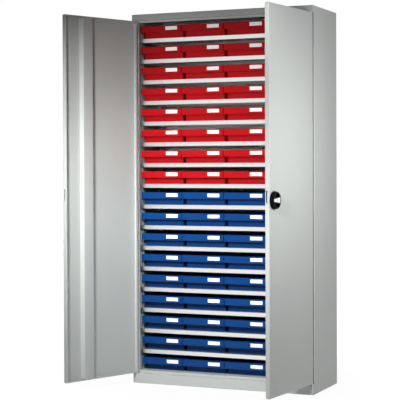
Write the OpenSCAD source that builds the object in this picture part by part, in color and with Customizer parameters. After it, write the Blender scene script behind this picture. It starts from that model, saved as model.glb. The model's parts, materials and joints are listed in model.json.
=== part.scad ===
// Parts bin cabinet: a folded steel cupboard with two hinged doors, a rotary
// handle that works two bolts and a latch tongue, and rows of plastic bins on
// lipped shelves. Millimetres. X runs across the front, -Y is the front and Z
// is up. The origin lies on the floor, under the middle of the body.

/* [Cabinet] */
// Width over the side panels
cab_w = 1000; // [900:5:1200]
// Depth of the body, from the header's face to the back
cab_d = 400; // [400:5:600]
// Thickness of the sheet of the body
sheet = 1.2; // [0.8:0.1:2]
// Inside radius of the sheets' bends
bend = 1.2; // [0.6:0.1:2]
// Height of the plinth
plinth_h = 52; // [45:1:100]
// Height of the header's face
header_h = 32; // [28:1:60]
// Step from the plinth's top up to the cabinet's floor
floor_rise = 13; // [8:1:24]
// Room from the top row's shelf line to the cabinet's top, past one row height
head_room = 15; // [14:1:60]
// Width of the folded front edge that the doors close against
frame_w = 26.5; // [25:0.5:34]
// Depth of that edge's return
frame_return = 12; // [6:1:16]

/* [Doors] */
// Thickness of a door over its folded edges
door_t = 22; // [20:1:26]
// Thickness of the door sheet
door_sheet = 1; // [0.8:0.1:1.5]
// Gap from a closed door to the body behind it
door_back_gap = 2; // [1.5:0.5:5]
// Gap between the closed doors
centre_gap = 2.5; // [2:0.5:6]
// Inset of a closed door's hinge edge from the body's side
edge_inset = 3; // [2:0.5:6]
// Gap above and below a door
door_end_gap = 2.8; // [2:0.1:5]
// Angle at which the left door stands open
left_open = 111; // [0:1:115]
// Angle at which the right door stands open
right_open = 84; // [0:1:115]
// Distance of a hinge pin from the door's hinge edge
pin_edge = 6; // [5:0.5:7]
// Distance of a hinge pin behind the door's face
pin_face = 5; // [4.5:0.5:6]
// Diameter of a hinge pin
pin_d = 6; // [4:0.5:6.5]
// Radial running clearance of a hinge pin
pin_play = 0.06; // [0.02:0.01:0.1]
// Width of the return lip on the hinge edge
hinge_lip = 11; // [8:1:16]
// Width of the return lips on the other edges
edge_lip = 8; // [5:1:14]
// Height of the corner cut-outs at the hinge
corner_cut = 32; // [24:1:50]

/* [Door stiffener] */
// Width of the pressed stiffener's crest
hat_crest = 66; // [40:1:90]
// Width of each of its ramps
hat_ramp = 42; // [20:1:50]
// Distance of its middle from the door's free edge
hat_from_edge = 154; // [145:1:220]
// Width of its spot-welded feet
hat_foot = 6; // [4:1:7]

/* [Handle and lock] */
// Height of the handle's centre above the floor
handle_z = 987; // [700:1:1300]
// Distance of the handle's centre from the door's free edge
handle_inset = 47; // [45:0.5:60]
// Diameter of the knob at the door
knob_d = 88; // [84:1:92]
// Diameter of the knob's front face
knob_front_d = 77; // [70:1:82]
// Height of the knob
knob_h = 20; // [16:1:30]
// Width of the knob's rim beside the finger scoops
knob_rim = 4.5; // [3:0.5:7]
// Depth of the finger scoops
scoop_depth = 14; // [8:0.5:14]
// Height of the grip bar at its narrow end
bar_narrow = 14; // [12:1:24]
// Height of the grip bar at its wide end
bar_wide = 32; // [24:1:36]
// Reach of the white plate past the handle's centre
plate_reach = 28; // [16:1:34]
// Diameter of the key cylinder
lock_d = 12; // [9:0.5:12.5]
// Module of the lock's gear teeth
gear_module = 1.5; // [1.4:0.05:1.6]
// Number of teeth on the lock's pinion
gear_teeth = 14; // [12:2:16]
// Diameter of the bolt rods
rod_d = 7; // [5:0.5:8]
// Height of the tongue's slot in the doors' edges
slot_h = 58; // [54:1:70]
// Width of that slot
slot_w = 8; // [7:0.5:9]
// Thickness of the latch tongue
tongue_t = 6; // [4:0.5:6.5]
// Travel of the latch tongue for each millimetre of bolt travel
tongue_ratio = 0.72; // [0.5:0.02:0.8]

/* [Shelves] */
// Number of rows of bins
rows = 17; // [6:1:18]
// Number of rows, from the top, that hold red bins
red_rows = 8; // [1:1:17]
// Height from one shelf to the next
row_pitch = 110; // [104:1:140]
// Setback of the shelves' front from the cabinet's front
shelf_setback = 50; // [45:1:70]
// Depth of a shelf
shelf_d = 310; // [305:5:330]
// Height of the shelf's front lip
lip_h = 22; // [18:1:28]
// Inset of that lip's ends from the cabinet's front edges
lip_inset = 17.5; // [4:0.5:30]
// Depth of the shelf's folded side edges
shelf_edge = 18; // [14:1:24]
// Width of the slotted posts
post_w = 30; // [24:1:40]
// Depth of the slotted posts, from the side panel
post_depth = 20; // [16:0.5:21]
// Setback of the front posts behind the shelves' front
post_setback = 35; // [30:1:60]

/* [Bins] */
// Number of bins in a row
bins_across = 4; // [3:1:5]
// Depth of a bin
bin_d = 300; // [260:5:300]
// Height of a bin
bin_h = 65.5; // [60:0.5:74]
// Gap between neighbouring bins
bin_gap = 1; // [0.6:0.1:3]
// Wall of a bin
bin_wall = 2; // [1.6:0.1:3]
// Height of the grip band across the bin's front
band_h = 34; // [28:1:38]
// Reach of the grip band in front of the bin's wall
band_reach = 35; // [20:1:40]
// Inset of the walls under the rim
rim_inset = 3; // [2.5:0.5:8]
// Further inset of the walls at the bin's bottom
draft = 3; // [2:0.5:7]
// Corner radius of the walls at the rim
bin_corner = 12; // [11:0.5:20]
// Corner radius of the rim and the grip band
rim_corner = 6; // [4:0.5:10]
// Overhang of the bins' fronts past the shelf's front
bin_overhang = 3; // [0:0.5:8]
// Width of a label card
label_w = 69; // [50:1:74]
// Height of a label card
label_h = 18.5; // [15:0.5:22]
// Thickness of a label card
label_t = 0.6; // [0.4:0.1:1]
// Width of the moulded holder's border beside the label
holder_side = 9; // [6:0.5:18]
// Distance of the moulded holder from the bin's side
holder_inset = 6; // [6:0.5:12]
// Height by which the moulded holder stands proud
holder_t = 1.5; // [1:0.1:2]

/* [Hidden] */
$fn = 48;
seat_gap = 0.3;      // clearance under parts that slide or lift off
fit = 0.3;           // clearance between folded parts that nest
bend_steps = 3;      // flats in each bend
front_y = -cab_d / 2;
back_y = cab_d / 2;
side_x = cab_w / 2;
inner_x = side_x - sheet;
floor_z = plinth_h + floor_rise;
cab_h = floor_z + rows * row_pitch + head_room;
header_z = cab_h - header_h;
frame_y = front_y + door_t + door_back_gap;   // front of the edge behind the doors
frame_x = side_x - frame_w;                   // inner edge of the folded front edge
stop_drop = 11;                               // stop lip below the header
stop_lap = 14;                                // stop lip behind the plinth
weld_flange = 16;                             // flanges that are welded or lapped
fold = 20;                                    // turned-down edges of top and floor

// doors, described closed
door_z0 = plinth_h + door_end_gap;
door_z1 = header_z - door_end_gap;
door_w = side_x - edge_inset - centre_gap / 2;
free_x = centre_gap / 2;                      // right door's free edge
pin_x = side_x - edge_inset - pin_edge;
pin_y = front_y + pin_face;
skin_y = front_y + door_sheet;                // inside of the door's skin
lip_y = front_y + door_t;                     // inside plane of the door's lips
hat_x = free_x + hat_from_edge;
pin_block = 14;                               // bush under a door's end flange
lip_notch = 4;                                // hinge lip cut back past its width
relief = 5;                                   // cut-out at the free edge's corners
hole_room = 0.5;                              // round a rod where it leaves the door
shaft_room = 1;                               // round the spindle in the door's skin
past = 1;                                     // a cutter's reach past the face it cuts

// lock, described with the right door closed
lock_x = free_x + handle_inset;
lock_z = handle_z;
knob_gap = 0.3;
knob_y = front_y - knob_gap;                  // back of the knob
case_wall = 1.5;
case_y0 = skin_y;
rack_y0 = case_y0 + case_wall + fit;          // layer of the pinion and racks
rack_t = 7;
rack_y1 = rack_y0 + rack_t;
tongue_y0 = rack_y1 + fit;
tongue_y1 = tongue_y0 + tongue_t;
case_y1 = tongue_y1 + fit + case_wall;
case_h = 150;
rod_y = rack_y0 + rack_t / 2;
rod_off = 17;                                 // rods to either side of the pinion
rack_back = 4;                                // rack behind its rod's middle
case_x0 = free_x + 9;
case_x1 = lock_x + rod_off + rack_back + 2 * fit + case_wall;
gear_r = gear_module * gear_teeth / 2;
gear_pitch = PI * gear_module;
bolt_travel = gear_r * PI / 2;                // a quarter turn of the handle
tongue_travel = bolt_travel * tongue_ratio;
flank_play = 0.3;
shaft_r = 8;
tail_r = 4;
drive = 10;                                   // square between spindle and knob
slot_z = lock_z + 17.5;
slot_y = (tongue_y0 + tongue_y1) / 2;
pin_r = 2.9;                                  // tongue's drive pin
pin_side = 16;                                // from the handle's middle
pin_rise = 37;
pin_at = [lock_x - pin_side, lock_z + pin_rise];
wing_low = 13;                                // cam plate on the upper rack
wing_top = 44;
rack_tail = 11;                               // rack past its teeth's travel
rack_top = 30;

// shelves and bins
shelf_y = front_y + shelf_setback;
bin_y = shelf_y - bin_overhang;
row_w = 2 * frame_x;                          // the bins pass between the front edges
bin_pitch = row_w / bins_across;
bin_w = bin_pitch - bin_gap;
rail_t = 1.2;
rail_foot = 14;                               // rail's leg under the shelf
post_x = inner_x - post_depth;                // inside of the posts
rail_x = post_x - rail_t;                     // inside of the rail's upright leg
shelf_half = rail_x - bend - fit / 2;
lip_half = frame_x - lip_inset;
post_front_y = shelf_y + post_setback;
post_rear_y = shelf_y + shelf_d - post_w + 5;
label_x = bin_w / 2 - holder_inset - holder_side - label_w / 2;
label_drop = 5.5;                             // card's top below the rim
hook_drop = 10;                               // post slots below the shelf's top
sliding_column = 1;                           // counted from 0 at the left

function two(n) = n < 10 ? str("0", n) : str(n);
function seat_z(r) = floor_z + (rows - r) * row_pitch;
function bin_x(c) = -row_w / 2 + (c + 0.5) * bin_pitch;

powder_coat = [0.80, 0.82, 0.80];
zinc = [0.72, 0.73, 0.75];
black_plastic = [0.06, 0.06, 0.06];
red_plastic = [0.78, 0.08, 0.07];
blue_plastic = [0.05, 0.19, 0.55];
card_white = [0.97, 0.97, 0.95];

// a box between two opposite corners
module box(lo, hi) {
    translate(lo) cube(hi - lo);
}

// solids of one cross-section, which run up, across or from front to back
module run_up(z0, z1) {
    translate([0, 0, z0]) linear_extrude(z1 - z0) children();
}

module run_across(x0, x1) {
    translate([x0, 0, 0]) rotate([90, 0, 90]) linear_extrude(x1 - x0) children();
}

module run_back(y0, y1) {
    translate([0, y1, 0]) rotate([90, 0, 0]) linear_extrude(y1 - y0) children();
}

function unit(p, q) = (q - p) / norm(q - p);
function left_of(v) = [-v[1], v[0]];
function turned(v, a) = [v[0] * cos(a) - v[1] * sin(a), v[0] * sin(a) + v[1] * cos(a)];

// the face of a folded sheet at a distance d to the left of its middle line,
// with an arc of radius r - d or r + d round each corner of the line
function sheet_face(line, d, r) = let (last = len(line) - 1) concat(
    [line[0] + d * left_of(unit(line[0], line[1]))],
    [for (k = [1:last - 1]) each
        let (u = unit(line[k - 1], line[k]), v = unit(line[k], line[k + 1]),
             turn = atan2(u[0] * v[1] - u[1] * v[0], u * v), hand = sign(turn),
             centre = line[k] - r * tan(abs(turn) / 2) * u + hand * r * left_of(u))
        [for (step = [0:bend_steps])
            centre - (hand * r - d) * left_of(turned(u, turn * step / bend_steps))]],
    [line[last] + d * left_of(unit(line[last - 1], line[last]))]);

// cross-section of a sheet of thickness t, folded at the corners of a line
module folded(line, t) {
    r = bend + t / 2;
    far = sheet_face(line, -t / 2, r);
    polygon(concat(sheet_face(line, t / 2, r), [for (k = [len(far) - 1:-1:0]) far[k]]));
}

module both_sides() {
    children();
    mirror([1, 0, 0]) children();
}

// ---- body ----

module side_panel() {
    h = sheet / 2;
    run_up(0, cab_h - sheet)
        folded([[-frame_x - h, frame_y + frame_return], [-frame_x - h, frame_y + h],
                [-side_x + h, frame_y + h], [-side_x + h, back_y - h],
                [-side_x + frame_w / 2, back_y - h]], sheet);
}

module side_left() {
    color(powder_coat) side_panel();
}

module side_right() {
    color(powder_coat) mirror([1, 0, 0]) side_panel();
}

module back_panel() {
    half = inner_x - bend;
    color(powder_coat)
        box([-half, back_y - 2 * sheet, 0], [half, back_y - sheet, cab_h - sheet]);
}

module top_panel() {
    under = cab_h - sheet;
    behind = back_y - 2 * sheet;
    first = frame_y + frame_return;
    color(powder_coat) {
        box([-side_x, front_y, under], [side_x, back_y, cab_h]);
        both_sides()
            box([-inner_x, first, under - fold], [-inner_x + sheet, behind, under]);
        box([-inner_x, behind - sheet, under - fold], [inner_x, behind, under]);
    }
}

// folded rail over the doors, with the stop lip behind them
module header() {
    h = sheet / 2;
    top = cab_h - sheet;
    color(powder_coat) difference() {
        union() {
            run_across(-side_x, side_x)
                folded([[front_y + weld_flange, top - h], [front_y + h, top - h],
                        [front_y + h, header_z + h], [frame_y, header_z + h]], sheet);
            run_across(-frame_x + fit, frame_x - fit)
                folded([[frame_y - weld_flange / 2, header_z + h], [frame_y + h, header_z + h],
                        [frame_y + h, header_z - stop_drop]], sheet);
            both_sides()
                box([-side_x, front_y + sheet, header_z + sheet],
                    [-inner_x, frame_y, top - sheet]);
        }
        both_sides() pin_hole(header_z);
        translate([lock_x - rod_off, rod_y, header_z - 1])
            cylinder(d = rod_d + 1.6, h = sheet + 2);
    }
}

module pin_hole(z) {
    translate([pin_x, pin_y, z - 1]) cylinder(d = pin_d + 0.1, h = sheet + 2);
}

module floor_pan() {
    h = sheet / 2;
    inner_front = frame_y + frame_return + fit;
    behind = back_y - 2 * sheet;
    rear_bend = behind - bend - sheet;
    foot = floor_z - sheet - fold;
    color(powder_coat) {
        run_across(-frame_x + fit, frame_x - fit)
            folded([[frame_y + h, plinth_h - stop_lap], [frame_y + h, floor_z - h],
                    [inner_front + weld_flange, floor_z - h]], sheet);
        run_back(inner_front, rear_bend)
            folded([[-inner_x + h, foot], [-inner_x + h, floor_z - h],
                    [inner_x - h, floor_z - h], [inner_x - h, foot]], sheet);
        run_across(-inner_x + bend + sheet, inner_x - bend - sheet)
            folded([[rear_bend - weld_flange, floor_z - h], [behind - h, floor_z - h],
                    [behind - h, foot]], sheet);
    }
}

// channel that carries the middle of the floor on the ground
module floor_support() {
    h = sheet / 2;
    half = 35;
    wing = 18;
    top = floor_z - sheet;
    color(powder_coat) run_back(frame_y + sheet + bend + fit, back_y - 3 * sheet - bend - fit)
        folded([[-half - wing, top - h], [-half + h, top - h], [-half + h, h],
                [half - h, h], [half - h, top - h], [half + wing, top - h]], sheet);
}

module plinth() {
    h = sheet / 2;
    color(powder_coat) difference() {
        union() {
            run_across(-side_x, side_x)
                folded([[front_y + weld_flange, h], [front_y + h, h],
                        [front_y + h, plinth_h - h], [frame_y - h, plinth_h - h],
                        [frame_y - h, 0]], sheet);
            both_sides()
                box([-side_x, front_y + sheet, sheet],
                    [-inner_x, frame_y - sheet, plinth_h - sheet]);
        }
        both_sides() pin_hole(plinth_h - sheet);
        translate([lock_x + rod_off, rod_y, plinth_h - sheet - 1])
            cylinder(d = rod_d + 1.6, h = sheet + 2);
    }
}

// slotted posts that carry the shelf rails
module upright(y) {
    h = sheet / 2;
    slot_pitch = row_pitch / 2;
    difference() {
        run_up(floor_z, cab_h - sheet - fold - 4)
            folded([[inner_x, y + h], [post_x + h, y + h], [post_x + h, y + post_w - h],
                    [inner_x, y + post_w - h]], sheet);
        for (k = [1:2 * rows - 2])
            translate([post_x - 1, y + post_w / 2 - 2, floor_z + k * slot_pitch - hook_drop - 7])
                cube([sheet + 2, 4, 14]);
    }
}

module uprights() {
    color(powder_coat) both_sides() {
        upright(post_front_y);
        upright(post_rear_y);
    }
}

// angle under each end of a shelf, hooked into the posts
module shelf_rail(r) {
    z = seat_z(r);
    h = rail_t / 2;
    leg = z - shelf_edge;
    run_back(shelf_y + rail_t, shelf_y + shelf_d)
        folded([[rail_x + h, z - 3], [rail_x + h, leg - h], [rail_x - rail_foot, leg - h]], rail_t);
    box([lip_half + fit, shelf_y, leg - rail_t], [inner_x - 2, shelf_y + rail_t, z]);
    for (y = [post_front_y, post_rear_y])
        box([rail_x, y + post_w / 2 - h, z - hook_drop - 5],
            [post_x + sheet + 3, y + post_w / 2 + h, z - hook_drop + 5]);
}

module shelf_rails() {
    color(zinc) both_sides()
        for (r = [1:rows - 1]) shelf_rail(r);
}

// pivot pins riveted into the plinth and the header, each with a collar that
// the door's end rests against
module hinge_pin(up) {
    rivet = 1.5;
    mirror([0, 0, up ? 0 : 1]) {
        translate([0, 0, -sheet - rivet])
            cylinder(d = pin_d, h = rivet + sheet + door_end_gap + door_sheet + pin_block);
        cylinder(d = pin_d + 3, h = door_end_gap - seat_gap);
    }
}

module hinge_pins() {
    color(zinc) both_sides() {
        translate([pin_x, pin_y, plinth_h]) hinge_pin(true);
        translate([pin_x, pin_y, header_z]) hinge_pin(false);
    }
}

// ---- doors, modelled closed on the right and then swung open ----

module swing_right() {
    translate([pin_x, pin_y, 0]) rotate([0, 0, right_open]) translate([-pin_x, -pin_y, 0])
        children();
}

module swing_left() {
    translate([-pin_x, pin_y, 0]) rotate([0, 0, -left_open]) translate([pin_x, -pin_y, 0])
        mirror([1, 0, 0]) children();
}

module door_leaf() {
    x0 = free_x;
    x1 = free_x + door_w;
    s = door_sheet;
    h = s / 2;
    arc = bend + s;
    web = 2 * weld_flange;
    difference() {
        union() {
            run_up(door_z0 + arc, door_z1 - arc)
                folded([[x0 + edge_lip, lip_y - h], [x0 + h, lip_y - h], [x0 + h, front_y + h],
                        [x1 - h, front_y + h], [x1 - h, lip_y - h],
                        [x1 - hinge_lip, lip_y - h]], s);
            run_across(x0 + arc, x1 - arc) {
                folded([[front_y + h, door_z1 - web], [front_y + h, door_z1 - h],
                        [lip_y - h, door_z1 - h], [lip_y - h, door_z1 - edge_lip]], s);
                folded([[front_y + h, door_z0 + web], [front_y + h, door_z0 + h],
                        [lip_y - h, door_z0 + h], [lip_y - h, door_z0 + edge_lip]], s);
            }
            // bushes for the hinge pins
            for (z = [door_z0 + s, door_z1 - s - pin_block])
                box([pin_x - pin_block + pin_edge, front_y + s, z],
                    [x1 - s, pin_y + pin_block - pin_face, z + pin_block]);
        }
        // open corners at the hinge, where the lips would foul the pins' bushes
        for (z = [door_z0 + s, door_z1 - corner_cut])
            box([x1 - hinge_lip - lip_notch, pin_y + pin_block - pin_face + fit, z],
                [x1 - s, lip_y + past, z + corner_cut - s]);
        // relief cut-outs at the free edge's corners
        for (z = [door_z0 - past, door_z1 - relief])
            box([x0 - past, lip_y - relief, z], [x0 + relief, lip_y + past, z + relief + past]);
        for (z = [door_z0 - past, door_z1 - s - pin_block - past])
            translate([pin_x, pin_y, z])
                cylinder(d = pin_d + 2 * pin_play, h = pin_block + s + 2 * past);
        translate([x0 - past, slot_y - slot_w / 2, slot_z - slot_h / 2])
            cube([s + 2 * past, slot_w, slot_h]);
    }
}

module door_right() {
    color(powder_coat) swing_right() difference() {
        door_leaf();
        translate([lock_x, front_y - past, lock_z]) rotate([-90, 0, 0])
            cylinder(r = shaft_r + shaft_room, h = door_sheet + 2 * past);
        translate([lock_x - rod_off, rod_y, door_z1 - door_sheet - past])
            cylinder(d = rod_d + 2 * hole_room, h = door_sheet + 2 * past);
        translate([lock_x + rod_off, rod_y, door_z0 - past])
            cylinder(d = rod_d + 2 * hole_room, h = door_sheet + 2 * past);
    }
}

module door_left() {
    color(powder_coat) swing_left() door_leaf();
}

// pressed hat section spot-welded inside a door
module stiffener() {
    half = hat_crest / 2 + hat_ramp;
    h = door_sheet / 2;
    crest = door_t - 2 * door_sheet - fit - h;
    translate([hat_x, skin_y, 0])
        run_up(door_z0 + edge_lip + fit, door_z1 - edge_lip - fit)
            folded([[-half - hat_foot, h], [-half, h], [-hat_crest / 2, crest],
                    [hat_crest / 2, crest], [half, h], [half + hat_foot, h]], door_sheet);
}

module door_left_stiffener() {
    color(powder_coat) swing_left() stiffener();
}

module door_right_stiffener() {
    color(powder_coat) swing_right() stiffener();
}

// ---- handle and lock ----

// turns a solid built along +Z so that it points out of the door's face
module at_handle(y) {
    translate([lock_x, y, lock_z]) rotate([90, 0, 0]) children();
}

module lock_case() {
    x1 = case_x1;
    z0 = lock_z - case_h / 2;
    z1 = lock_z + case_h / 2;
    w = case_wall;
    color(zinc) swing_right() difference() {
        box([case_x0, case_y0, z0], [x1, case_y1, z1]);
        box([case_x0 + w, case_y0 + w, z0 + w], [x1 - w, case_y1 - w, z1 - w]);
        at_handle(case_y0 + w + 1) cylinder(r = shaft_r + pin_play, h = w + 2);
        at_handle(case_y1 + 1) cylinder(r = tail_r + pin_play, h = w + 2);
        translate([lock_x - rod_off, rod_y, z1 - w - 1]) cylinder(d = rod_d + 0.8, h = w + 2);
        translate([lock_x + rod_off, rod_y, z0 - 1]) cylinder(d = rod_d + 0.8, h = w + 2);
        box([case_x0 - 1, tongue_y0 - fit, slot_z - slot_h / 2 + 2],
            [case_x0 + w + 1, tongue_y1 + fit, slot_z + slot_h / 2 - 2]);
    }
}

module rod_guide(x, z) {
    half = rod_d / 2 + 4;
    difference() {
        union() {
            box([x - half, skin_y, z - 8], [x + half, rod_y + half, z + 8]);
            box([x - half - 10, skin_y, z - 8], [x, skin_y + 2, z + 8]);
        }
        translate([x, rod_y, z - 9]) cylinder(d = rod_d + 2 * pin_play, h = 18);
    }
}

module rod_guides() {
    from_end = 140;
    color(zinc) swing_right() {
        rod_guide(lock_x - rod_off, door_z1 - from_end);
        rod_guide(lock_x - rod_off, (door_z1 + lock_z) / 2);
        rod_guide(lock_x + rod_off, (door_z0 + lock_z) / 2);
        rod_guide(lock_x + rod_off, door_z0 + from_end);
    }
}

// grip bar across the knob, from its narrow end to its wide end
module bar_shape(grow) {
    r = knob_d;
    slope = (bar_wide - bar_narrow) / (2 * knob_front_d);
    mid = (bar_wide + bar_narrow) / 4 + grow;
    polygon([[-r, mid - slope * r], [r, mid + slope * r],
             [r, -mid - slope * r], [-r, -mid + slope * r]]);
}

module handle_knob() {
    front_r = knob_front_d / 2;
    color(black_plastic) swing_right() at_handle(knob_y) difference() {
        rotate_extrude() polygon([[0, 0], [knob_d / 2, 0], [knob_d / 2, 4],
            [front_r + 1.5, knob_h - 1.5], [front_r, knob_h], [0, knob_h]]);
        translate([0, 0, knob_h - scoop_depth]) linear_extrude(scoop_depth + 1)
            difference() {
                circle(r = front_r - knob_rim);
                bar_shape(0);
            }
        translate([0, 0, knob_h - 1]) linear_extrude(2) insert_shape(0.1);
        translate([0, 0, knob_h - 15]) cylinder(d = lock_d + 2 * pin_play, h = 16);
        translate([-drive / 2, -drive / 2, -1]) cube([drive, drive, 5]);
    }
}

module insert_shape(grow) {
    r = knob_front_d / 2;
    intersection() {
        circle(r = r - 1.5 + grow);
        bar_shape(-1.2 + grow);
        translate([-r, -r]) square([r + plate_reach + grow, 2 * r]);
    }
}

module handle_insert() {
    color(card_white) swing_right() at_handle(knob_y)
        translate([0, 0, knob_h - 1]) linear_extrude(1.5) difference() {
            insert_shape(0);
            circle(d = lock_d + 1);
        }
}

module lock_cylinder() {
    color(zinc) swing_right() at_handle(knob_y) difference() {
        translate([0, 0, knob_h - 14.8]) cylinder(d = lock_d, h = 15.6);
        translate([-0.8, -lock_d / 2 + 2, knob_h - 4]) cube([1.6, lock_d - 4, 6]);
    }
}

// involute pinion: a flank's half angle at radius r
function flank(r) =
    let (alpha = 20, base = gear_r * cos(alpha),
         turn = sqrt(max(0, pow(r / base, 2) - 1)),
         full = tan(alpha) - alpha * PI / 180)
    ((gear_pitch - flank_play) / (4 * gear_r) + full) * 180 / PI
        - (turn * 180 / PI - atan(turn));

module pinion() {
    tip = gear_r + 0.8 * gear_module;
    base = gear_r * cos(20) + 0.01;
    root = gear_r - 1.1 * gear_module;
    steps = [for (k = [0:4]) base + (tip - base) * k / 4];
    pts = [for (t = [0:gear_teeth - 1]) let (a = t * 360 / gear_teeth) each concat(
        [[root, a - flank(base)]],
        [for (r = steps) [r, a - flank(r)]],
        [for (k = [4:-1:0]) [steps[k], a + flank(steps[k])]],
        [[root, a + flank(base)]])];
    polygon([for (p = pts) [p[0] * cos(p[1]), p[0] * sin(p[1])]]);
}

module handle_spindle() {
    color(zinc) swing_right() {
        at_handle(knob_y + 0.2) translate([-drive / 2 + 0.1, -drive / 2 + 0.1, -0.5])
            cube([drive - 0.2, drive - 0.2, 4]);
        at_handle(rack_y0) cylinder(r = shaft_r, h = rack_y0 - knob_y - fit);
        at_handle(rack_y1) linear_extrude(rack_t) pinion();
        at_handle(case_y1) cylinder(r = tail_r, h = case_y1 - rack_y1 + 1);
    }
}

// toothed edge facing +X, its pitch line on x = 0, with a space at height 0
module rack_edge(z_from, z_to, back) {
    tip = 0.75 * gear_module;
    deep = 1.1 * gear_module;
    half = (gear_pitch - flank_play) / 4;
    k0 = ceil(z_from / gear_pitch);
    k1 = floor(z_to / gear_pitch) - 1;
    translate([-back, z_from]) square([back - deep, z_to - z_from]);
    for (k = [k0:k1]) translate([0, (k + 0.5) * gear_pitch])
        polygon([[-deep - 0.5, half + deep * tan(20)], [-deep - 0.5, -half - deep * tan(20)],
                 [-deep, -half - deep * tan(20)], [tip, -half + tip * tan(20)],
                 [tip, half - tip * tan(20)], [-deep, half + deep * tan(20)]]);
}

// plate with a toothed edge, drawn in the door's plane and then made solid
module rack_plate(z_from, z_to) {
    translate([lock_x, rack_y1, lock_z]) rotate([90, 0, 0]) linear_extrude(rack_t)
        translate([-gear_r - 0.05, 0]) rack_edge(z_from, z_to, rod_off + rack_back - gear_r);
}

module rod_upper() {
    color(zinc) swing_right() difference() {
        union() {
            rack_plate(-bolt_travel - rack_tail, wing_top);
            box([pin_at[0] - tongue_travel - 7, rack_y0, lock_z + wing_low],
                [lock_x - gear_r - 3, rack_y1, lock_z + wing_top]);
            translate([lock_x - rod_off, rod_y, lock_z + wing_top - 1])
                cylinder(d = rod_d, h = door_z1 - lock_z - wing_top + 0.5);
        }
        slanted_slot();
    }
}

// cam slot that pushes the tongue out as the upper bolt rises
module slanted_slot() {
    r = pin_r + 0.15;
    reach = norm([tongue_travel, bolt_travel]);
    lean = atan2(tongue_travel, bolt_travel);
    translate([pin_at[0], rack_y1 + 1, pin_at[1]]) rotate([90, 0, 0])
        rotate([0, 0, -lean]) linear_extrude(rack_t + 2) {
            circle(r = r);
            translate([0, -reach]) circle(r = r);
            translate([-r, -reach]) square([2 * r, reach]);
        }
}

module rod_lower() {
    color(zinc) swing_right() {
        translate([2 * lock_x, 0, 2 * lock_z]) rotate([0, 180, 0])
            rack_plate(-bolt_travel - rack_tail, rack_top);
        translate([lock_x + rod_off, rod_y, door_z0 + 0.5])
            cylinder(d = rod_d, h = lock_z - rack_top + 1 - door_z0);
    }
}

module latch_tongue() {
    x0 = free_x + door_sheet + 1.2;
    color(zinc) swing_right() {
        difference() {
            box([x0, tongue_y0, slot_z - slot_h / 2 + 4],
                [pin_at[0] + 4.5, tongue_y1, slot_z + slot_h / 2 - 4]);
            // bevelled nose
            translate([x0, tongue_y1, 0]) rotate([0, 0, 45])
                translate([-3, -3, slot_z - slot_h]) cube([6, 6, 2 * slot_h]);
        }
        translate([pin_at[0], tongue_y0 + 1, pin_at[1]]) rotate([90, 0, 0])
            cylinder(r = pin_r, h = rack_t);
    }
}

// ---- shelves ----

module shelf(r) {
    h = sheet / 2;
    back = shelf_y + shelf_d;
    first = shelf_y + rail_t + fit;
    arc = bend + sheet;
    color(powder_coat) translate([0, 0, seat_z(r)]) {
        run_across(-lip_half, lip_half)
            folded([[shelf_y + weld_flange, h - lip_h], [shelf_y + h, h - lip_h],
                    [shelf_y + h, -h], [first + weld_flange, -h]], sheet);
        run_back(first, back - arc)
            folded([[-shelf_half + h, -shelf_edge], [-shelf_half + h, -h],
                    [shelf_half - h, -h], [shelf_half - h, -shelf_edge]], sheet);
        run_across(-shelf_half + arc, shelf_half - arc)
            folded([[back - arc - weld_flange, -h], [back - h, -h],
                    [back - h, -shelf_edge]], sheet);
    }
}

// ---- bins ----

// rectangle with round corners in the bin's plan
module rounded_plan(half, y0, y1, r) {
    translate([-half + r, y0]) square([2 * (half - r), y1 - y0]);
    translate([-half, y0 + r]) square([2 * half, y1 - y0 - 2 * r]);
    for (x = [-half + r, half - r], y = [y0 + r, y1 - r])
        translate([x, y]) circle(r = r);
}

// drafted space with round corners, inset from the walls' outside; the corners
// are cones, so that every wall leans by the same draft
module bin_space(inset, z0, z1) {
    cx = bin_w / 2 - rim_inset - bin_corner;
    cy0 = band_reach + bin_corner;
    cy1 = bin_d - rim_inset - bin_corner;
    r0 = bin_corner - inset + draft * (z0 / bin_h - 1);
    r1 = bin_corner - inset + draft * (z1 / bin_h - 1);
    run_back(cy0, cy1)
        polygon([[-cx - r0, z0], [cx + r0, z0], [cx + r1, z1], [-cx - r1, z1]]);
    run_across(-cx, cx)
        polygon([[cy0 - r0, z0], [cy1 + r0, z0], [cy1 + r1, z1], [cy0 - r1, z1]]);
    for (x = [-cx, cx], y = [cy0, cy1])
        translate([x, y, z0]) cylinder(r1 = r0, r2 = r1, h = z1 - z0);
}

module bin_shell() {
    w = bin_wall;
    half = bin_w / 2;
    difference() {
        union() {
            bin_space(0, 0, bin_h);
            translate([0, 0, bin_h - w]) linear_extrude(w)
                rounded_plan(half, 0, bin_d, rim_corner);
            // grip band, which stands in front of the wall and leaves room for fingers
            translate([0, 0, bin_h - band_h]) linear_extrude(band_h) intersection() {
                difference() {
                    rounded_plan(half, 0, bin_d, rim_corner);
                    rounded_plan(half - w, w, bin_d - w, rim_corner - w);
                }
                translate([-half, 0]) square([bin_w, band_reach + rim_inset]);
            }
            label_holder();
        }
        bin_space(w, w, bin_h + 1);
    }
}

// raised frame on the band, open at the top for the card
module label_holder() {
    half = label_w / 2 + holder_side;
    z1 = bin_h - 0.5;
    card_z = bin_h - label_drop - label_h;
    difference() {
        box([label_x - half, -holder_t, card_z - 3.5], [label_x + half, 1, z1]);
        box([label_x - label_w / 2 - 1, -holder_t - 1, card_z - 1],
            [label_x + label_w / 2 + 1, 0, z1 + 1]);
    }
}

module label_card() {
    translate([label_x - label_w / 2, -label_t - seat_gap, bin_h - label_drop - label_h])
        cube([label_w, label_t, label_h]);
}

module bin(r, c) {
    translate([bin_x(c), bin_y, seat_z(r) + seat_gap]) {
        color(r <= red_rows ? red_plastic : blue_plastic) bin_shell();
        color(card_white) label_card();
    }
}

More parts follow.
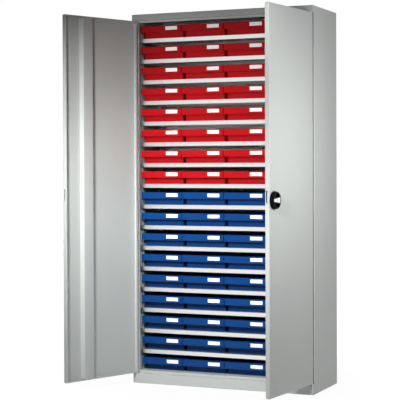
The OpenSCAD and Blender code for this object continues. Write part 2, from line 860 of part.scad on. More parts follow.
module standing_bins(first, last) {
    for (r = [first:last])
        for (c = [0:bins_across - 1])
            if (c != sliding_column) bin(r, c);
}

module red_bins() {
    standing_bins(1, min(red_rows, rows));
}

module blue_bins() {
    if (red_rows < rows) standing_bins(red_rows + 1, rows);
}

side_left();
side_right();
back_panel();
top_panel();
header();
floor_pan();
floor_support();
plinth();
uprights();
shelf_rails();
hinge_pins();
door_left();
door_left_stiffener();
door_right();
door_right_stiffener();
lock_case();
rod_guides();
handle_knob();
handle_insert();
handle_spindle();
lock_cylinder();
rod_upper();
rod_lower();
latch_tongue();
red_bins();
blue_bins();
for (r = [1:rows - 1])
    shelf(r);
for (r = [1:rows])
    bin(r, sliding_column);
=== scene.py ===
# %% [markdown]
# # Dressing a parts bin cabinet
# The cabinet is a folded steel cupboard: two doors stand open, and inside them rows of
# small moulded bins sit on lipped shelves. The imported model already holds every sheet,
# pin, bolt and bin at its real size, so this lesson doesn't build it again. It loads that
# model as a fixed frame, gives each piece the finish that it has in the workshop, and
# remakes the moulded plastic as smoother surfaces.

# %% Load the frame
import json
import math

import bmesh
import bpy
import numpy as np
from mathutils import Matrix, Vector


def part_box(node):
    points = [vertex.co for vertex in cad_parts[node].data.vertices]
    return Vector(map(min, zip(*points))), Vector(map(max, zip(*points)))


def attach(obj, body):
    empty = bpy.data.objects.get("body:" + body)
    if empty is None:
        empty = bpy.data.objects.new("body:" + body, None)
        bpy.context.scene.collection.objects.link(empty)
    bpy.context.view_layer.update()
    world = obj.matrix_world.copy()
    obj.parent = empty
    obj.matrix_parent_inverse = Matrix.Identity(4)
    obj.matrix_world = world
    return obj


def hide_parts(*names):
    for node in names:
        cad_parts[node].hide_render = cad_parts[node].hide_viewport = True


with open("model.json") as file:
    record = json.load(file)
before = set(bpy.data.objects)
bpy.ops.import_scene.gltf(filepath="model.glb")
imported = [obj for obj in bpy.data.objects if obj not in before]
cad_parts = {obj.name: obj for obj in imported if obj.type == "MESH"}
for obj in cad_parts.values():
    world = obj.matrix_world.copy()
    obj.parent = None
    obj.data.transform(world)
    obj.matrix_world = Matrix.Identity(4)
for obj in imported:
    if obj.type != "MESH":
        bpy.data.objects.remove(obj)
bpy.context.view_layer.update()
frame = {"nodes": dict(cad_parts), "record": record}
NODES = frame["nodes"]
BODY_OF = {node: body for body, members in frame["record"]["behaviour"]["bodies"].items()
           for node in members}

# %% [markdown]
# ## Camera
# The cabinet's uprights stand almost straight in the picture, as they do when the camera is
# level and the picture plane is shifted. A camera tilted by less than a degree, with a
# little lens shift, gives the same. The place, the turn and the focal length come from the
# corners of the cabinet, the doors' free edges and the evenly spaced shelves, which only
# one camera brings to where they are.

# %% Place the camera
PICTURE = 400
FOCAL_PIXELS = 1318.5
CENTRE_PIXEL = (170.2, 182.1)
SENSOR_MM = 36.0


def aim(yaw, pitch, roll):
    """Rotation of a camera turned yaw degrees to the left of +Y, raised by pitch and then rolled."""
    level = math.radians(90 + pitch)
    return (level, math.radians(roll), math.radians(yaw))


camera_data = bpy.data.cameras.new("camera")
camera_data.sensor_width = SENSOR_MM
camera_data.lens = FOCAL_PIXELS / PICTURE * SENSOR_MM
camera_data.shift_x = (PICTURE / 2 - CENTRE_PIXEL[0]) / PICTURE
camera_data.shift_y = -(PICTURE / 2 - CENTRE_PIXEL[1]) / PICTURE
camera_data.clip_end = 60
camera = bpy.data.objects.new("camera", camera_data)
camera.location = (2.561, -6.489, 1.158)
camera.rotation_euler = aim(24.32, -0.77, 0.22)
bpy.context.scene.collection.objects.link(camera)
bpy.context.scene.camera = camera
print("lens", round(camera_data.lens, 1),
      "shift", round(camera_data.shift_x, 3), round(camera_data.shift_y, 3))

# %% [markdown]
# ## Floor, background and light
# The background is plain white. The world's light could be turned up until it clips, but
# then the cabinet would be burnt out too. Instead the world and the floor ask the light
# path who is looking: the camera, and anything that mirrors the room, sees white, and the
# cabinet is lit by a dimmer grey and by soft lamps. Three spots stand in front, a small one
# lights the right door's edge, two lamps light the right side, and one each the back and
# the top, which the main view doesn't show.

# %% Shader helpers
def new_material(name):
    """An empty node material with its output, returned as (material, nodes, links)."""
    material = bpy.data.materials.new(name)
    material.use_nodes = True
    nodes = material.node_tree.nodes
    nodes.clear()
    nodes.new("ShaderNodeOutputMaterial")
    return material, nodes, material.node_tree.links


def seen_directly(nodes, links):
    """1 where a ray comes from the camera, or from a mirror-like or clear surface, else 0."""
    path = nodes.new("ShaderNodeLightPath")
    both = nodes.new("ShaderNodeMath")
    both.operation = "MAXIMUM"
    links.new(path.outputs["Is Camera Ray"], both.inputs[0])
    links.new(path.outputs["Is Glossy Ray"], both.inputs[1])
    every = nodes.new("ShaderNodeMath")
    every.operation = "MAXIMUM"
    links.new(both.outputs[0], every.inputs[0])
    links.new(path.outputs["Is Transmission Ray"], every.inputs[1])
    return every.outputs[0]


# %% World and floor
AMBIENT = 0.02
FLOOR_SIZE = 30.0
FLOOR_TONE = 0.6
FLOOR_WHITE = 1.05      # a little over 1, so that the floor is white where it is seen
FLOOR_SHADOW = 0.10     # share of the true shadow that shows near the middle
FADE_FROM, FADE_TO = 0.4, 1.5


def light_world():
    """White where it is seen, and an even grey light on the cabinet."""
    world = bpy.data.worlds.new("studio")
    bpy.context.scene.world = world
    world.use_nodes = True
    nodes, links = world.node_tree.nodes, world.node_tree.links
    nodes.clear()
    seen = nodes.new("ShaderNodeBackground")
    seen.inputs["Color"].default_value = (1, 1, 1, 1)
    lit = nodes.new("ShaderNodeBackground")
    lit.inputs["Color"].default_value = (0.97, 0.985, 1, 1)
    lit.inputs["Strength"].default_value = AMBIENT
    mix = nodes.new("ShaderNodeMixShader")
    links.new(seen_directly(nodes, links), mix.inputs["Fac"])
    links.new(lit.outputs[0], mix.inputs[1])
    links.new(seen.outputs[0], mix.inputs[2])
    links.new(mix.outputs[0], nodes.new("ShaderNodeOutputWorld").inputs["Surface"])


def floor_material():
    """Matt pale floor that is seen as white, apart from a share of the cabinet's soft shadow, which
    fades out from FADE_FROM to FADE_TO metres from the middle."""
    material, nodes, links = new_material("pale_floor")
    matt = nodes.new("ShaderNodeBsdfDiffuse")
    matt.inputs["Color"].default_value = (FLOOR_TONE, FLOOR_TONE, FLOOR_TONE, 1)
    white = nodes.new("ShaderNodeEmission")
    white.inputs["Strength"].default_value = FLOOR_WHITE
    where = nodes.new("ShaderNodeTexCoord")
    reach = nodes.new("ShaderNodeVectorMath")
    reach.operation = "LENGTH"
    links.new(where.outputs["Object"], reach.inputs[0])
    fade = nodes.new("ShaderNodeMapRange")
    fade.interpolation_type = "SMOOTHSTEP"
    for label, value in (("From Min", FADE_FROM), ("From Max", FADE_TO), ("To Min", 1 - FLOOR_SHADOW),
                         ("To Max", 1.0)):
        fade.inputs[label].default_value = value
    links.new(reach.outputs["Value"], fade.inputs["Value"])
    share = nodes.new("ShaderNodeMath")
    share.operation = "MULTIPLY"
    links.new(seen_directly(nodes, links), share.inputs[0])
    links.new(fade.outputs[0], share.inputs[1])
    mix = nodes.new("ShaderNodeMixShader")
    links.new(share.outputs[0], mix.inputs["Fac"])
    links.new(matt.outputs[0], mix.inputs[1])
    links.new(white.outputs[0], mix.inputs[2])
    links.new(mix.outputs[0], nodes["Material Output"].inputs["Surface"])
    return material


bpy.context.scene.view_settings.view_transform = "Standard"
light_world()
half = FLOOR_SIZE / 2
floor_mesh = bpy.data.meshes.new("floor")
floor_mesh.from_pydata([(-half, -half, 0), (half, -half, 0), (half, half, 0), (-half, half, 0)],
                       [], [(0, 1, 2, 3)])
floor = bpy.data.objects.new("floor", floor_mesh)
floor_mesh.materials.append(floor_material())
bpy.context.scene.collection.objects.link(floor)
print("world and floor ready")

# %% Lamps
def softbox(name, place, target, size, power, spread, mirrored=True):
    """A rectangular lamp at place that faces target, with its beam held to spread degrees by a
    grid, and hidden from the camera; one that isn't mirrored leaves no highlight either."""
    data = bpy.data.lights.new(name, "AREA")
    data.shape = "RECTANGLE"
    data.size, data.size_y = size
    data.energy = power
    data.spread = math.radians(spread)
    lamp = bpy.data.objects.new(name, data)
    lamp.location = place
    away = np.array(target, float) - np.array(place, float)
    flat = math.hypot(away[0], away[1])
    lamp.rotation_euler = (math.atan2(flat, -away[2]), 0, math.atan2(-away[0], away[1]))
    lamp.visible_camera = False
    lamp.visible_glossy = mirrored
    bpy.context.scene.collection.objects.link(lamp)


softbox("left_spot", (-0.45, -1.90, 1.30), (-0.45, -0.2, 0.85), (0.15, 0.15), 3.0, 80, False)
softbox("high_left_spot", (-0.30, -1.90, 1.75), (-0.45, -0.3, 0.85), (0.15, 0.15), 4.3, 80, False)
softbox("middle_spot", (0.50, -2.20, 1.50), (0.25, -0.2, 0.45), (0.15, 0.15), 5.7, 75, False)
softbox("edge_spot", (0.52, -1.10, 1.88), (0.44, -0.66, 1.80), (0.2, 0.2), 1.0, 120, False)
softbox("side_softbox", (1.30, -0.60, 1.27), (0.45, -0.60, 1.27), (0.35, 0.35), 6.2, 180)
softbox("far_softbox", (1.90, 0.25, 1.05), (0.45, -0.10, 1.05), (0.5, 0.5), 4.2, 180)
softbox("back_softbox", (-0.90, 2.40, 1.75), (-0.10, 0.20, 1.10), (0.8, 0.4), 20.0, 120, False)
softbox("top_softbox", (-0.20, 0.95, 2.45), (0.0, 0.0, 1.95), (0.5, 0.2), 2.5, 110, False)

# %% [markdown]
# ## Finishes
# The coats and plastics here share two things: a colour that drifts a little over the
# surface, and a fine relief that breaks up a reflection. Each is a node group, built once
# and placed in every material with its own scale, so a change reaches all of them. The
# shader itself stays in the material. The cards alone have a faint glow, which is painted
# light: the lamps that suit the rest leave them grey in the upper rows, and they should look white.

# %% Node groups
def new_group(name, inputs, outputs):
    """A shader node group with the named inputs (name, kind, value) and outputs (name, kind)."""
    group = bpy.data.node_groups.new(name, "ShaderNodeTree")
    for label, kind, value in inputs:
        socket = group.interface.new_socket(label, in_out="INPUT", socket_type=kind)
        socket.default_value = value
    for label, kind in outputs:
        group.interface.new_socket(label, in_out="OUTPUT", socket_type=kind)
    return group, group.nodes.new("NodeGroupInput"), group.nodes.new("NodeGroupOutput")


def noise_in(group, scale_from, detail):
    """Noise on Object coordinates whose scale is the given socket."""
    where = group.nodes.new("ShaderNodeTexCoord")
    noise = group.nodes.new("ShaderNodeTexNoise")
    noise.inputs["Detail"].default_value = detail
    group.links.new(where.outputs["Object"], noise.inputs["Vector"])
    group.links.new(scale_from, noise.inputs["Scale"])
    return noise.outputs[0]


def drift_group():
    """Colour drift: the tone times 1 plus or minus an amount, in clouds of the given scale."""
    group, given, put = new_group(
        "colour_drift",
        [("Tone", "NodeSocketColor", (0.5, 0.5, 0.5, 1)), ("Scale", "NodeSocketFloat", 4.0),
         ("Amount", "NodeSocketFloat", 0.05)],
        [("Color", "NodeSocketColor")])
    clouds = noise_in(group, given.outputs["Scale"], 3.0)
    centred = group.nodes.new("ShaderNodeMath")
    centred.operation = "MULTIPLY_ADD"
    centred.inputs[1].default_value = 2.0
    centred.inputs[2].default_value = -1.0
    group.links.new(clouds, centred.inputs[0])
    gain = group.nodes.new("ShaderNodeMath")
    gain.operation = "MULTIPLY_ADD"
    gain.inputs[2].default_value = 1.0
    group.links.new(centred.outputs[0], gain.inputs[0])
    group.links.new(given.outputs["Amount"], gain.inputs[1])
    scaled = group.nodes.new("ShaderNodeVectorMath")
    scaled.operation = "SCALE"
    group.links.new(given.outputs["Tone"], scaled.inputs[0])
    group.links.new(gain.outputs[0], scaled.inputs["Scale"])
    group.links.new(scaled.outputs[0], put.inputs["Color"])
    return group


FINER, FINE_SHARE = 4.0, 0.35   # the finer noise's scale and height against the broad one's


def relief_group():
    """Fine relief: two sizes of noise, one FINER than the other, added as a height; the broad one
    also makes the roughness drift."""
    group, given, put = new_group(
        "fine_relief",
        [("Scale", "NodeSocketFloat", 600.0), ("Roughness", "NodeSocketFloat", 0.4),
         ("Spread", "NodeSocketFloat", 0.06)],
        [("Height", "NodeSocketFloat"), ("Roughness", "NodeSocketFloat")])
    broad = noise_in(group, given.outputs["Scale"], 2.0)
    finer = group.nodes.new("ShaderNodeMath")
    finer.operation = "MULTIPLY"
    finer.inputs[1].default_value = FINER
    group.links.new(given.outputs["Scale"], finer.inputs[0])
    fine = noise_in(group, finer.outputs[0], 1.0)
    height = group.nodes.new("ShaderNodeMath")
    height.operation = "MULTIPLY_ADD"
    height.inputs[1].default_value = FINE_SHARE
    group.links.new(fine, height.inputs[0])
    group.links.new(broad, height.inputs[2])
    group.links.new(height.outputs[0], put.inputs["Height"])
    centred = group.nodes.new("ShaderNodeMath")
    centred.operation = "SUBTRACT"
    centred.inputs[1].default_value = 0.5
    group.links.new(broad, centred.inputs[0])
    rough = group.nodes.new("ShaderNodeMath")
    rough.operation = "MULTIPLY_ADD"
    group.links.new(centred.outputs[0], rough.inputs[0])
    group.links.new(given.outputs["Spread"], rough.inputs[1])
    group.links.new(given.outputs["Roughness"], rough.inputs[2])
    group.links.new(rough.outputs[0], put.inputs["Roughness"])
    return group


DRIFT = drift_group()
RELIEF = relief_group()
print("groups", DRIFT.name, RELIEF.name)

# %% Coats and plastics
BUMP_STRENGTH = 0.6
PAINTED_GLOW_TINT = (0.97, 0.98, 1, 1)


def finish(name, tone, roughness, grain, depth, drift=(3.0, 0.04), spread=0.06, metallic=0.0,
           specular=0.5, painted_glow=0.0):
    """A coat, plastic or paper: drifting tone, fine relief of the given grain (per metre) and depth
    (metres), and a painted glow that brightens the surface without a lamp, 0 for all but the cards."""
    material, nodes, links = new_material(name)
    shader = nodes.new("ShaderNodeBsdfPrincipled")
    shader.inputs["Metallic"].default_value = metallic
    shader.inputs["Specular IOR Level"].default_value = specular
    # the emission is painted light, a glow used only to brighten the cards
    shader.inputs["Emission Color"].default_value = PAINTED_GLOW_TINT
    shader.inputs["Emission Strength"].default_value = painted_glow
    colour = nodes.new("ShaderNodeGroup")
    colour.node_tree = DRIFT
    colour.inputs["Tone"].default_value = (*tone, 1)
    colour.inputs["Scale"].default_value = drift[0]
    colour.inputs["Amount"].default_value = drift[1]
    relief = nodes.new("ShaderNodeGroup")
    relief.node_tree = RELIEF
    relief.inputs["Scale"].default_value = grain
    relief.inputs["Roughness"].default_value = roughness
    relief.inputs["Spread"].default_value = spread
    bump = nodes.new("ShaderNodeBump")
    bump.inputs["Distance"].default_value = depth
    bump.inputs["Strength"].default_value = BUMP_STRENGTH
    links.new(colour.outputs["Color"], shader.inputs["Base Color"])
    links.new(relief.outputs["Roughness"], shader.inputs["Roughness"])
    links.new(relief.outputs["Height"], bump.inputs["Height"])
    links.new(bump.outputs["Normal"], shader.inputs["Normal"])
    links.new(shader.outputs[0], nodes["Material Output"].inputs["Surface"])
    return material


POWDER_COAT = finish("powder_coat", (0.585, 0.610, 0.590), 0.42, 700, 0.00012)
SHELF_COAT = finish("shelf_coat", (0.83, 0.83, 0.82), 0.36, 700, 0.00008, metallic=0.85)
RED_PLASTIC = finish("red_plastic", (0.50, 0.006, 0.010), 0.42, 260, 0.00008, (9.0, 0.07),
                     specular=0.22)
BLUE_PLASTIC = finish("blue_plastic", (0.003, 0.048, 0.20), 0.42, 260, 0.00008, (9.0, 0.07),
                      specular=0.22)
BLACK_PLASTIC = finish("black_plastic", (0.002, 0.002, 0.003), 0.30, 900, 0.00002, (40.0, 0.2),
                       specular=0.06)
WHITE_PLATE = finish("white_plate", (0.84, 0.84, 0.83), 0.35, 500, 0.00005)
# the cards' glow is painted light: it makes them white in the upper rows that the lamps leave grey
CARD_PAPER = finish("card_paper", (0.88, 0.88, 0.87), 0.75, 1500, 0.00005, (60.0, 0.02),
                    specular=0.2, painted_glow=0.22)
ZINC = finish("zinc_plate", (0.66, 0.68, 0.70), 0.32, 350, 0.00005, (30.0, 0.12), 0.16, metallic=1.0)
FINISH_OF = {"powder_coat": POWDER_COAT, "zinc": ZINC, "red_plastic": RED_PLASTIC,
             "blue_plastic": BLUE_PLASTIC, "black_plastic": BLACK_PLASTIC, "white_plate": WHITE_PLATE}
for part in frame["record"]["subparts"]:
    node = NODES[part["node"]]
    material = FINISH_OF[part["material_slot"]]
    if part["node"].startswith("shelf_") and part["node"] != "shelf_rails":
        material = SHELF_COAT
    node.data.materials.clear()
    node.data.materials.append(material)
print("materials", len(bpy.data.materials))

# %% [markdown]
# ## Meshes from numpy
# A moulded bin and a paper card are worked out as whole arrays of points. Two joining
# patterns are enough here. A stack of rings is closed into a skin by one flat face at each
# end. Two grids of the same shape, a front and a back, are closed into a slab by a strip
# round their edge. Both are computed without a loop over the points.

# %% Skins and slabs
MM = 0.001


def ring_skin(rings):
    """Closed skin over rings of points, shape (rows, points, 3): a quad joins points i and i+1 of
    rows k and k+1, and the first and last rings are filled by one face each."""
    rows, count = rings.shape[:2]
    base = np.arange(rows - 1)[:, None] * count
    here = np.arange(count)[None, :]
    after = (here + 1) % count
    quads = np.stack([base + here, base + after, base + count + after, base + count + here], axis=-1)
    ends = [list(range(count - 1, -1, -1)), list(range((rows - 1) * count, rows * count))]
    return rings.reshape(-1, 3), quads.reshape(-1, 4).tolist() + ends


def slab(front, back):
    """Closed slab between two grids of points, shape (rows, columns, 3), with the front grid's
    quads turned one way, the back's the other, and a strip round the edge."""
    rows, columns = front.shape[:2]
    index = np.arange(rows * columns).reshape(rows, columns)
    quads = np.stack([index[:-1, :-1], index[:-1, 1:], index[1:, 1:], index[1:, :-1]], axis=-1)
    quads = quads.reshape(-1, 4)
    edge = np.concatenate([index[0, :-1], index[:-1, -1], index[-1, :0:-1], index[:0:-1, 0]])
    shift = rows * columns
    onward = np.roll(edge, -1)
    strip = np.stack([onward, edge, edge + shift, onward + shift], axis=-1)
    faces = np.concatenate([quads, quads[:, ::-1] + shift, strip])
    return np.concatenate([front.reshape(-1, 3), back.reshape(-1, 3)]), faces.tolist()


def repeat(points, faces, offsets):
    """The same shape at every offset, as one list of points and faces."""
    places = (points[None, :, :] + np.asarray(offsets, float)[:, None, :]).reshape(-1, 3)
    every = [[i + k * len(points) for i in face] for k in range(len(offsets)) for face in faces]
    return places, every


def together(*shapes):
    """Several (points, faces) shapes as one."""
    points, faces, start = [], [], 0
    for some_points, some_faces in shapes:
        points.append(some_points)
        faces += [[i + start for i in face] for face in some_faces]
        start += len(some_points)
    return np.concatenate(points), faces


def piece(name, shape, material, body, smooth=35):
    """An object from points in millimetres and faces; edges sharper than smooth degrees stay crisp."""
    points, faces = shape
    mesh = bpy.data.meshes.new(name)
    mesh.from_pydata((np.asarray(points) * MM).tolist(), [], faces)
    mesh.validate()
    mesh.shade_smooth()
    mesh.set_sharp_from_angle(angle=math.radians(smooth))
    mesh.materials.append(material)
    made = bpy.data.objects.new(name, mesh)
    bpy.context.scene.collection.objects.link(made)
    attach(made, body)
    return made


# %% [markdown]
# ## Pressed door stiffeners
# A hat section runs up the inside of each door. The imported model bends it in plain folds
# with long ramps. The pressed part has short, steep walls, and its bends are round, so it
# is folded again here: a line of flats in the door's own plan, an arc at each bend, and
# the sheet's two faces half a thickness to either side. The doors stand open, so the plan
# is turned about the hinge pin by the angle at which the door rests.

# %% Folded sections
def bent_line(corners, radius, steps=5):
    """Polyline with each inner corner replaced by an arc. Along the bisector of a corner the arc's
    centre lies radius / cos(half the turn) away, and its points are radius from that centre."""
    corners = np.asarray(corners, float)
    before, at, after = corners[:-2], corners[1:-1], corners[2:]
    unit_in = (at - before) / np.linalg.norm(at - before, axis=1)[:, None]
    unit_out = (after - at) / np.linalg.norm(after - at, axis=1)[:, None]
    side = np.sign(unit_in[:, 0] * unit_out[:, 1] - unit_in[:, 1] * unit_out[:, 0])
    turn = np.arccos(np.clip((unit_in * unit_out).sum(axis=1), -1, 1))
    tangent = radius * np.tan(turn / 2)
    inward = np.stack([-unit_in[:, 1], unit_in[:, 0]], axis=1) * side[:, None]
    centre = at - unit_in * tangent[:, None] + inward * radius
    angle = turn[:, None] * np.linspace(0, 1, steps)[None, :]
    arcs = (centre[:, None, :] - inward[:, None, :] * (radius * np.cos(angle))[..., None]
            + unit_in[:, None, :] * (radius * np.sin(angle))[..., None])
    return np.concatenate([corners[:1], arcs.reshape(-1, 2), corners[-1:]])


def sheet_ring(line, thickness):
    """Closed outline of a sheet that follows the line, half its thickness to either side."""
    along = np.gradient(line, axis=0)
    along /= np.linalg.norm(along, axis=1)[:, None]
    across = np.stack([-along[:, 1], along[:, 0]], axis=1) * thickness / 2
    return np.concatenate([line - across, (line + across)[::-1]])


def in_door(plan, hinge, hand):
    """Plan points of a closed door turned to where it rests: mirrored for the left door, then
    rotated about its hinge pin by the angle that its joint gives."""
    joint = next(j for j in frame["record"]["behaviour"]["joints"] if j["name"] == hinge)
    opened = math.radians(-joint["range_deg"][0]) * hand
    pin = np.array(joint["pos_m"][:2]) / MM
    spot = plan * np.array([hand, 1]) - pin
    cos, sin = math.cos(opened), math.sin(opened)
    turned = [spot[:, 0] * cos - spot[:, 1] * sin, spot[:, 0] * sin + spot[:, 1] * cos]
    return pin + np.stack(turned, axis=1)


def upright(ring, z0, z1):
    """The outline carried up from z0 to z1."""
    flat = [np.column_stack([ring, np.full(len(ring), z)]) for z in (z0, z1)]
    return ring_skin(np.array(flat))


# %% Make the stiffeners
# millimetres in the closed door's plan: the middle's place, half the crest's width, the widths of
# a ramp and a foot, the sheet, the radius of a bend's arc, and y of the feet and of the crest
HAT_X, HAT_CREST, HAT_RAMP, HAT_FOOT, HAT_SHEET, HAT_BEND = 155.25, 31.0, 12.0, 14.0, 1.0, 2.5
HAT_LOW, HAT_HIGH = -198.5, -179.8
HAT_PLAN = [(HAT_X + sign * reach, y) for sign, reach, y in
            [(-1, HAT_CREST + HAT_RAMP + HAT_FOOT, HAT_LOW), (-1, HAT_CREST + HAT_RAMP, HAT_LOW),
             (-1, HAT_CREST, HAT_HIGH), (1, HAT_CREST, HAT_HIGH), (1, HAT_CREST + HAT_RAMP, HAT_LOW),
             (1, HAT_CREST + HAT_RAMP + HAT_FOOT, HAT_LOW)]]
for side, hand in (("right", 1), ("left", -1)):
    low, high = np.array(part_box(f"door_{side}_stiffener"))[:, 2] / MM
    ring = in_door(sheet_ring(bent_line(HAT_PLAN, HAT_BEND), HAT_SHEET), f"{side}_door_swing", hand)
    hat = piece(f"pressed_{side}_stiffener", upright(ring[::hand], low, high), POWDER_COAT,
                f"{side}_door")
    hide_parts(f"door_{side}_stiffener")
print("stiffener points", len(ring))

# %% [markdown]
# ## Handle with soft edges
# Light catches the edges of the moulded handle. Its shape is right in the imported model, but
# every edge is a perfect corner. A copy of each of its meshes is welded, its flat facets
# are merged, and a Bevel rounds the edges that are left by less than a millimetre.

# %% Soften the handle
WELD = 0.01                     # millimetres
FLAT_ANGLE, SHARP_ANGLE = 1, 40  # degrees: facets this flat are merged, edges this sharp rounded


def softened(node, width, material):
    """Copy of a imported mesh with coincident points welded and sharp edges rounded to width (mm)."""
    source = NODES[node]
    made = bpy.data.objects.new("soft_" + node, source.data.copy())
    made.data.transform(source.matrix_world)
    work = bmesh.new()
    work.from_mesh(made.data)
    bmesh.ops.remove_doubles(work, verts=work.verts, dist=WELD * MM)
    bmesh.ops.dissolve_limit(work, angle_limit=math.radians(FLAT_ANGLE), verts=work.verts,
                             edges=work.edges)
    work.to_mesh(made.data)
    work.free()
    made.data.materials.clear()
    made.data.materials.append(material)
    made.data.shade_smooth()
    bpy.context.scene.collection.objects.link(made)
    bevel = made.modifiers.new("round_edges", "BEVEL")
    bevel.width = width * MM
    bevel.segments = 2
    bevel.limit_method = "ANGLE"
    bevel.angle_limit = math.radians(SHARP_ANGLE)
    bevel.harden_normals = True
    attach(made, BODY_OF[node])
    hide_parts(node)


softened("handle_knob", 0.8, BLACK_PLASTIC)
softened("handle_insert", 0.25, WHITE_PLATE)
softened("lock_cylinder", 0.25, ZINC)
print("handle softened")

# %% [markdown]
# ## Moulded bins
# Each bin is one injection moulding: a tub whose walls lean inwards so that it leaves the
# mould, a flat rim round its top, and a grip band that hangs from the rim in front of the
# tub. One skin does it all: a rounded rectangle is carried up the outside, out
# under the rim, down and up the skirt, over the top and down the inside. Only its
# size, corner radius and height change from ring to ring, and the skirt hangs lower at the
# front than along the sides.

# %% Bin sizes
# millimetres; the bin's width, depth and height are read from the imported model. The card and its
# holder are slightly narrower and further left than there, as the picture has them.
BIN = np.array(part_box("sliding_bin_05")) / MM
CARD_DROP, CARD_W, CARD_H, CARD_T, CARD_GAP, CARD_BOW = 5.5, 66.5, 18.5, 0.6, 0.3, 0.25
CARD_BACK = CARD_T - 0.1        # from the card's front to its back
HOLDER_SIDE, HOLDER_INSET, HOLDER_OUT = 11.0, 12.0, 1.5
HOLDER_BELOW, HOLDER_TOP, HOLDER_SUNK = 3.5, 0.7, 0.8
POCKET_ROOM, POCKET_FLOOR = 1.0, 3.0
BIN_W = BIN[1][0] - BIN[0][0]
BIN_D = BIN[1][1] - BIN[0][1] - HOLDER_OUT
BIN_H = BIN[1][2] - BIN[0][2]
WALL, RIM_INSET, DRAFT, REACH, BAND_H, SIDE_SKIRT = 2.0, 3.0, 3.0, 35.0, 34.0, 4.0
TUB_CORNER, RIM_CORNER, LEAST_CORNER = 12.0, 6.0, 0.4
ROWS, RED_ROWS, ACROSS, SLIDING = 17, 8, 4, 1
BIN_GAP = 1.0
PITCH_X = BIN_W + BIN_GAP
print("bin", round(BIN_W, 1), round(BIN_D, 1), round(BIN_H, 1))

# %% Bin skin
ARC = np.radians(np.linspace(0, 90, 6))
HOLD = 3.0                                  # from an arc's end to the point that holds it
TUB_SIDES = np.array([53.0, 57.0, 61.0])    # y of the points on a side wall
RIM_SIDES = np.array([34.0, 38.0, 42.0])
# one value for each of the outline's 38 points: 1 in front, where the band hangs, 0 round the back
DEEP = np.array([1.0] * 9 + [0.5] + [0.0] * 18 + [0.5] + [1.0] * 9)


def outline(half, y0, y1, r, sides):
    """Rounded rectangle, anticlockwise from the front's right end, as a function of its half width,
    front, back and corner radius: four arcs of cos and sin, each held by a point HOLD along the
    straight on either side, and three points on each side wall at the given y."""
    def corner(sign_x, sign_y, first):
        cx, cy = sign_x * (half - r), (y0 + r) if sign_y < 0 else (y1 - r)
        x = cx + r * np.cos(ARC + first)
        y = cy + r * np.sin(ARC + first)
        return np.stack([x, y], axis=-1)
    right, left = np.full(3, half), np.full(3, -half)
    held = half - r - HOLD
    return np.concatenate([
        [[held, y0]], corner(1, -1, -math.pi / 2), [[half, y0 + r + HOLD]],
        np.stack([right, sides], axis=-1),
        [[half, y1 - r - HOLD]], corner(1, 1, 0), [[held, y1]],
        [[-held, y1]], corner(-1, 1, math.pi / 2), [[-half, y1 - r - HOLD]],
        np.stack([left, sides[::-1]], axis=-1),
        [[-half, y0 + r + HOLD]], corner(-1, -1, math.pi), [[-held, y0]]])


def bin_rings():
    """Rings of the bin from the outside of its floor to the inside: (inset, height) pairs run up the
    tub, round the skirt and down the inside. The tub's outline shrinks by DRAFT * (1 - z / BIN_H).
    Steps of a millimetre or less between pairs are the rounded edges."""
    w, h = WALL, BIN_H
    rings = []

    def tub(inset, z):
        lean = DRAFT * (1 - z / h) + inset
        flat = outline(BIN_W / 2 - RIM_INSET - lean, REACH + lean, BIN_D - RIM_INSET - lean,
                       max(TUB_CORNER - lean, LEAST_CORNER), TUB_SIDES)
        rings.append(np.column_stack([flat, np.full(len(flat), z)]))

    def rim(inset, z):
        flat = outline(BIN_W / 2 - inset, inset, BIN_D - inset,
                       max(RIM_CORNER - inset, LEAST_CORNER), RIM_SIDES)
        rings.append(np.column_stack([flat, np.broadcast_to(z, len(flat))]))

    for inset, z in [(3.0, 0.0), (1.5, 0.0), (0.5, 0.4), (0.0, 1.6), (0.0, h - w - 2.0),
                     (-0.5, h - w - 0.6), (-1.8, h - w)]:
        tub(inset, z)
    skirt = h - (BAND_H * DEEP + SIDE_SKIRT * (1 - DEEP))
    for inset, z in [(w + 1.0, h - w), (w, h - w - 0.8), (w, skirt + 0.6), (w - 0.5, skirt),
                     (0.5, skirt), (0.0, skirt + 0.6), (0.0, h - 1.2), (0.35, h - 0.35), (1.2, h)]:
        rim(inset, z)
    for inset, z in [(w - 1.2, h), (w - 0.3, h - 0.35), (w, h - 1.3), (w, w + 3.0), (w + 0.8, w + 0.8),
                     (w + 3.0, w)]:
        tub(inset, z)
    return np.array(rings)


print("rings", bin_rings().shape)

# %% [markdown]
# ## Label holders and cards
# A frame is moulded on each grip band, and a card drops into it from above. The frame is a
# slab whose front is a height over a grid: it climbs from its outer edge over a
# millimetre, and falls again into the card's pocket. The card is a thin slab, bowed by a
# fraction of a millimetre as stiff paper is.

# %% Holder and card
LABEL_X = BIN_W / 2 - HOLDER_INSET - HOLDER_SIDE - CARD_W / 2


def ramp(distance, width):
    """0 at the edge, 1 from width on, straight between."""
    return np.clip(distance / width, 0, 1)


EDGE_RAMP, EDGE_STEP, POCKET_RAMP = 1.2, 0.5, 0.7
EDGE_HEIGHT, POCKET_DEPTH = 0.15, 0.97      # shares of the holder's height


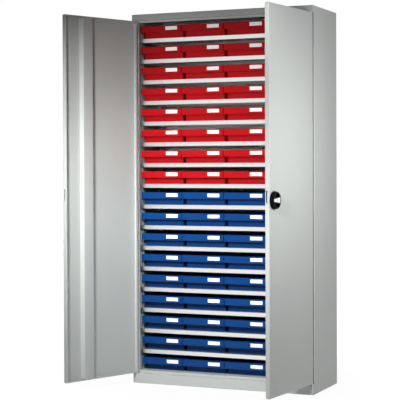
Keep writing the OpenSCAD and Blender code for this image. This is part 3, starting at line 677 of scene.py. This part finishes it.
def holder_shape():
    """Holder: height = HOLDER_OUT * (EDGE_HEIGHT + (1 - EDGE_HEIGHT) * ramp in from the outer edge)
    * (1 - POCKET_DEPTH * ramp into the pocket)."""
    half, pocket = CARD_W / 2 + HOLDER_SIDE, CARD_W / 2 + POCKET_ROOM
    low, high = BIN_H - CARD_DROP - CARD_H - HOLDER_BELOW, BIN_H - HOLDER_TOP
    floor_z = low + POCKET_FLOOR
    right = np.array([pocket, pocket + POCKET_RAMP, half - EDGE_RAMP, half - EDGE_STEP, half])
    x = np.concatenate([-right[::-1], [0], right])
    z = np.array([low, low + EDGE_STEP, low + EDGE_RAMP, floor_z - POCKET_RAMP, floor_z,
                  high - EDGE_RAMP, high - EDGE_STEP, high])
    gx, gz = np.meshgrid(x, z)
    edge = np.minimum.reduce([half - np.abs(gx), gz - low, high - gz])
    into = np.minimum(pocket - np.abs(gx), gz - floor_z) + POCKET_RAMP
    height = (HOLDER_OUT * (EDGE_HEIGHT + (1 - EDGE_HEIGHT) * ramp(edge, EDGE_RAMP))
              * (1 - POCKET_DEPTH * ramp(into, POCKET_RAMP)))
    front = np.stack([LABEL_X + gx, -height, gz], axis=-1)
    back = np.stack([LABEL_X + gx, np.full_like(gx, HOLDER_SUNK), gz], axis=-1)
    return slab(front, back)


def card_shape():
    """Card: front at CARD_GAP + CARD_T, bowed by CARD_BOW * (1 - (x / half)^2)."""
    half = CARD_W / 2
    top = BIN_H - CARD_DROP
    gx, gz = np.meshgrid(np.linspace(-half, half, 7), np.linspace(top - CARD_H, top, 2))
    bow = CARD_BOW * (1 - (gx / half) ** 2)
    front = np.stack([LABEL_X + gx, -CARD_GAP - CARD_T - bow, gz], axis=-1)
    back = front + np.array([0, CARD_BACK, 0])
    return slab(front, back)


# %% Make the bins
BIN_SHAPE = together(ring_skin(bin_rings()), holder_shape())
CARD_SHAPE = card_shape()


def bin_place(row, column):
    """Where a bin's own origin goes: its middle in x, its rim's front in y, its bottom in z."""
    low = np.array(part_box(f"sliding_bin_{row:02d}"))[0] / MM
    return (low[0] + BIN_W / 2 + (column - SLIDING) * PITCH_X, low[1] + HOLDER_OUT, low[2])


for name, first, last, tone, slot in [("red_bins", 1, RED_ROWS, RED_PLASTIC, "red_plastic"),
                                      ("blue_bins", RED_ROWS + 1, ROWS, BLUE_PLASTIC, "blue_plastic")]:
    spots = [bin_place(row, column) for row in range(first, last + 1) for column in range(ACROSS)
             if column != SLIDING]
    moulded = piece("moulded_" + name, repeat(*BIN_SHAPE, spots), tone, "root")
    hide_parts(name)
    piece("cards_in_" + name, repeat(*CARD_SHAPE, spots), CARD_PAPER, "root")
    for row in range(first, last + 1):
        spot = [bin_place(row, SLIDING)]
        body = f"row_{row:02d}_bin"
        single = piece(f"moulded_bin_{row:02d}", repeat(*BIN_SHAPE, spot), tone, body)
        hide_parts(f"sliding_bin_{row:02d}")
        piece(f"card_{row:02d}", repeat(*CARD_SHAPE, spot), CARD_PAPER, body)
print("bin faces", len(BIN_SHAPE[1]))
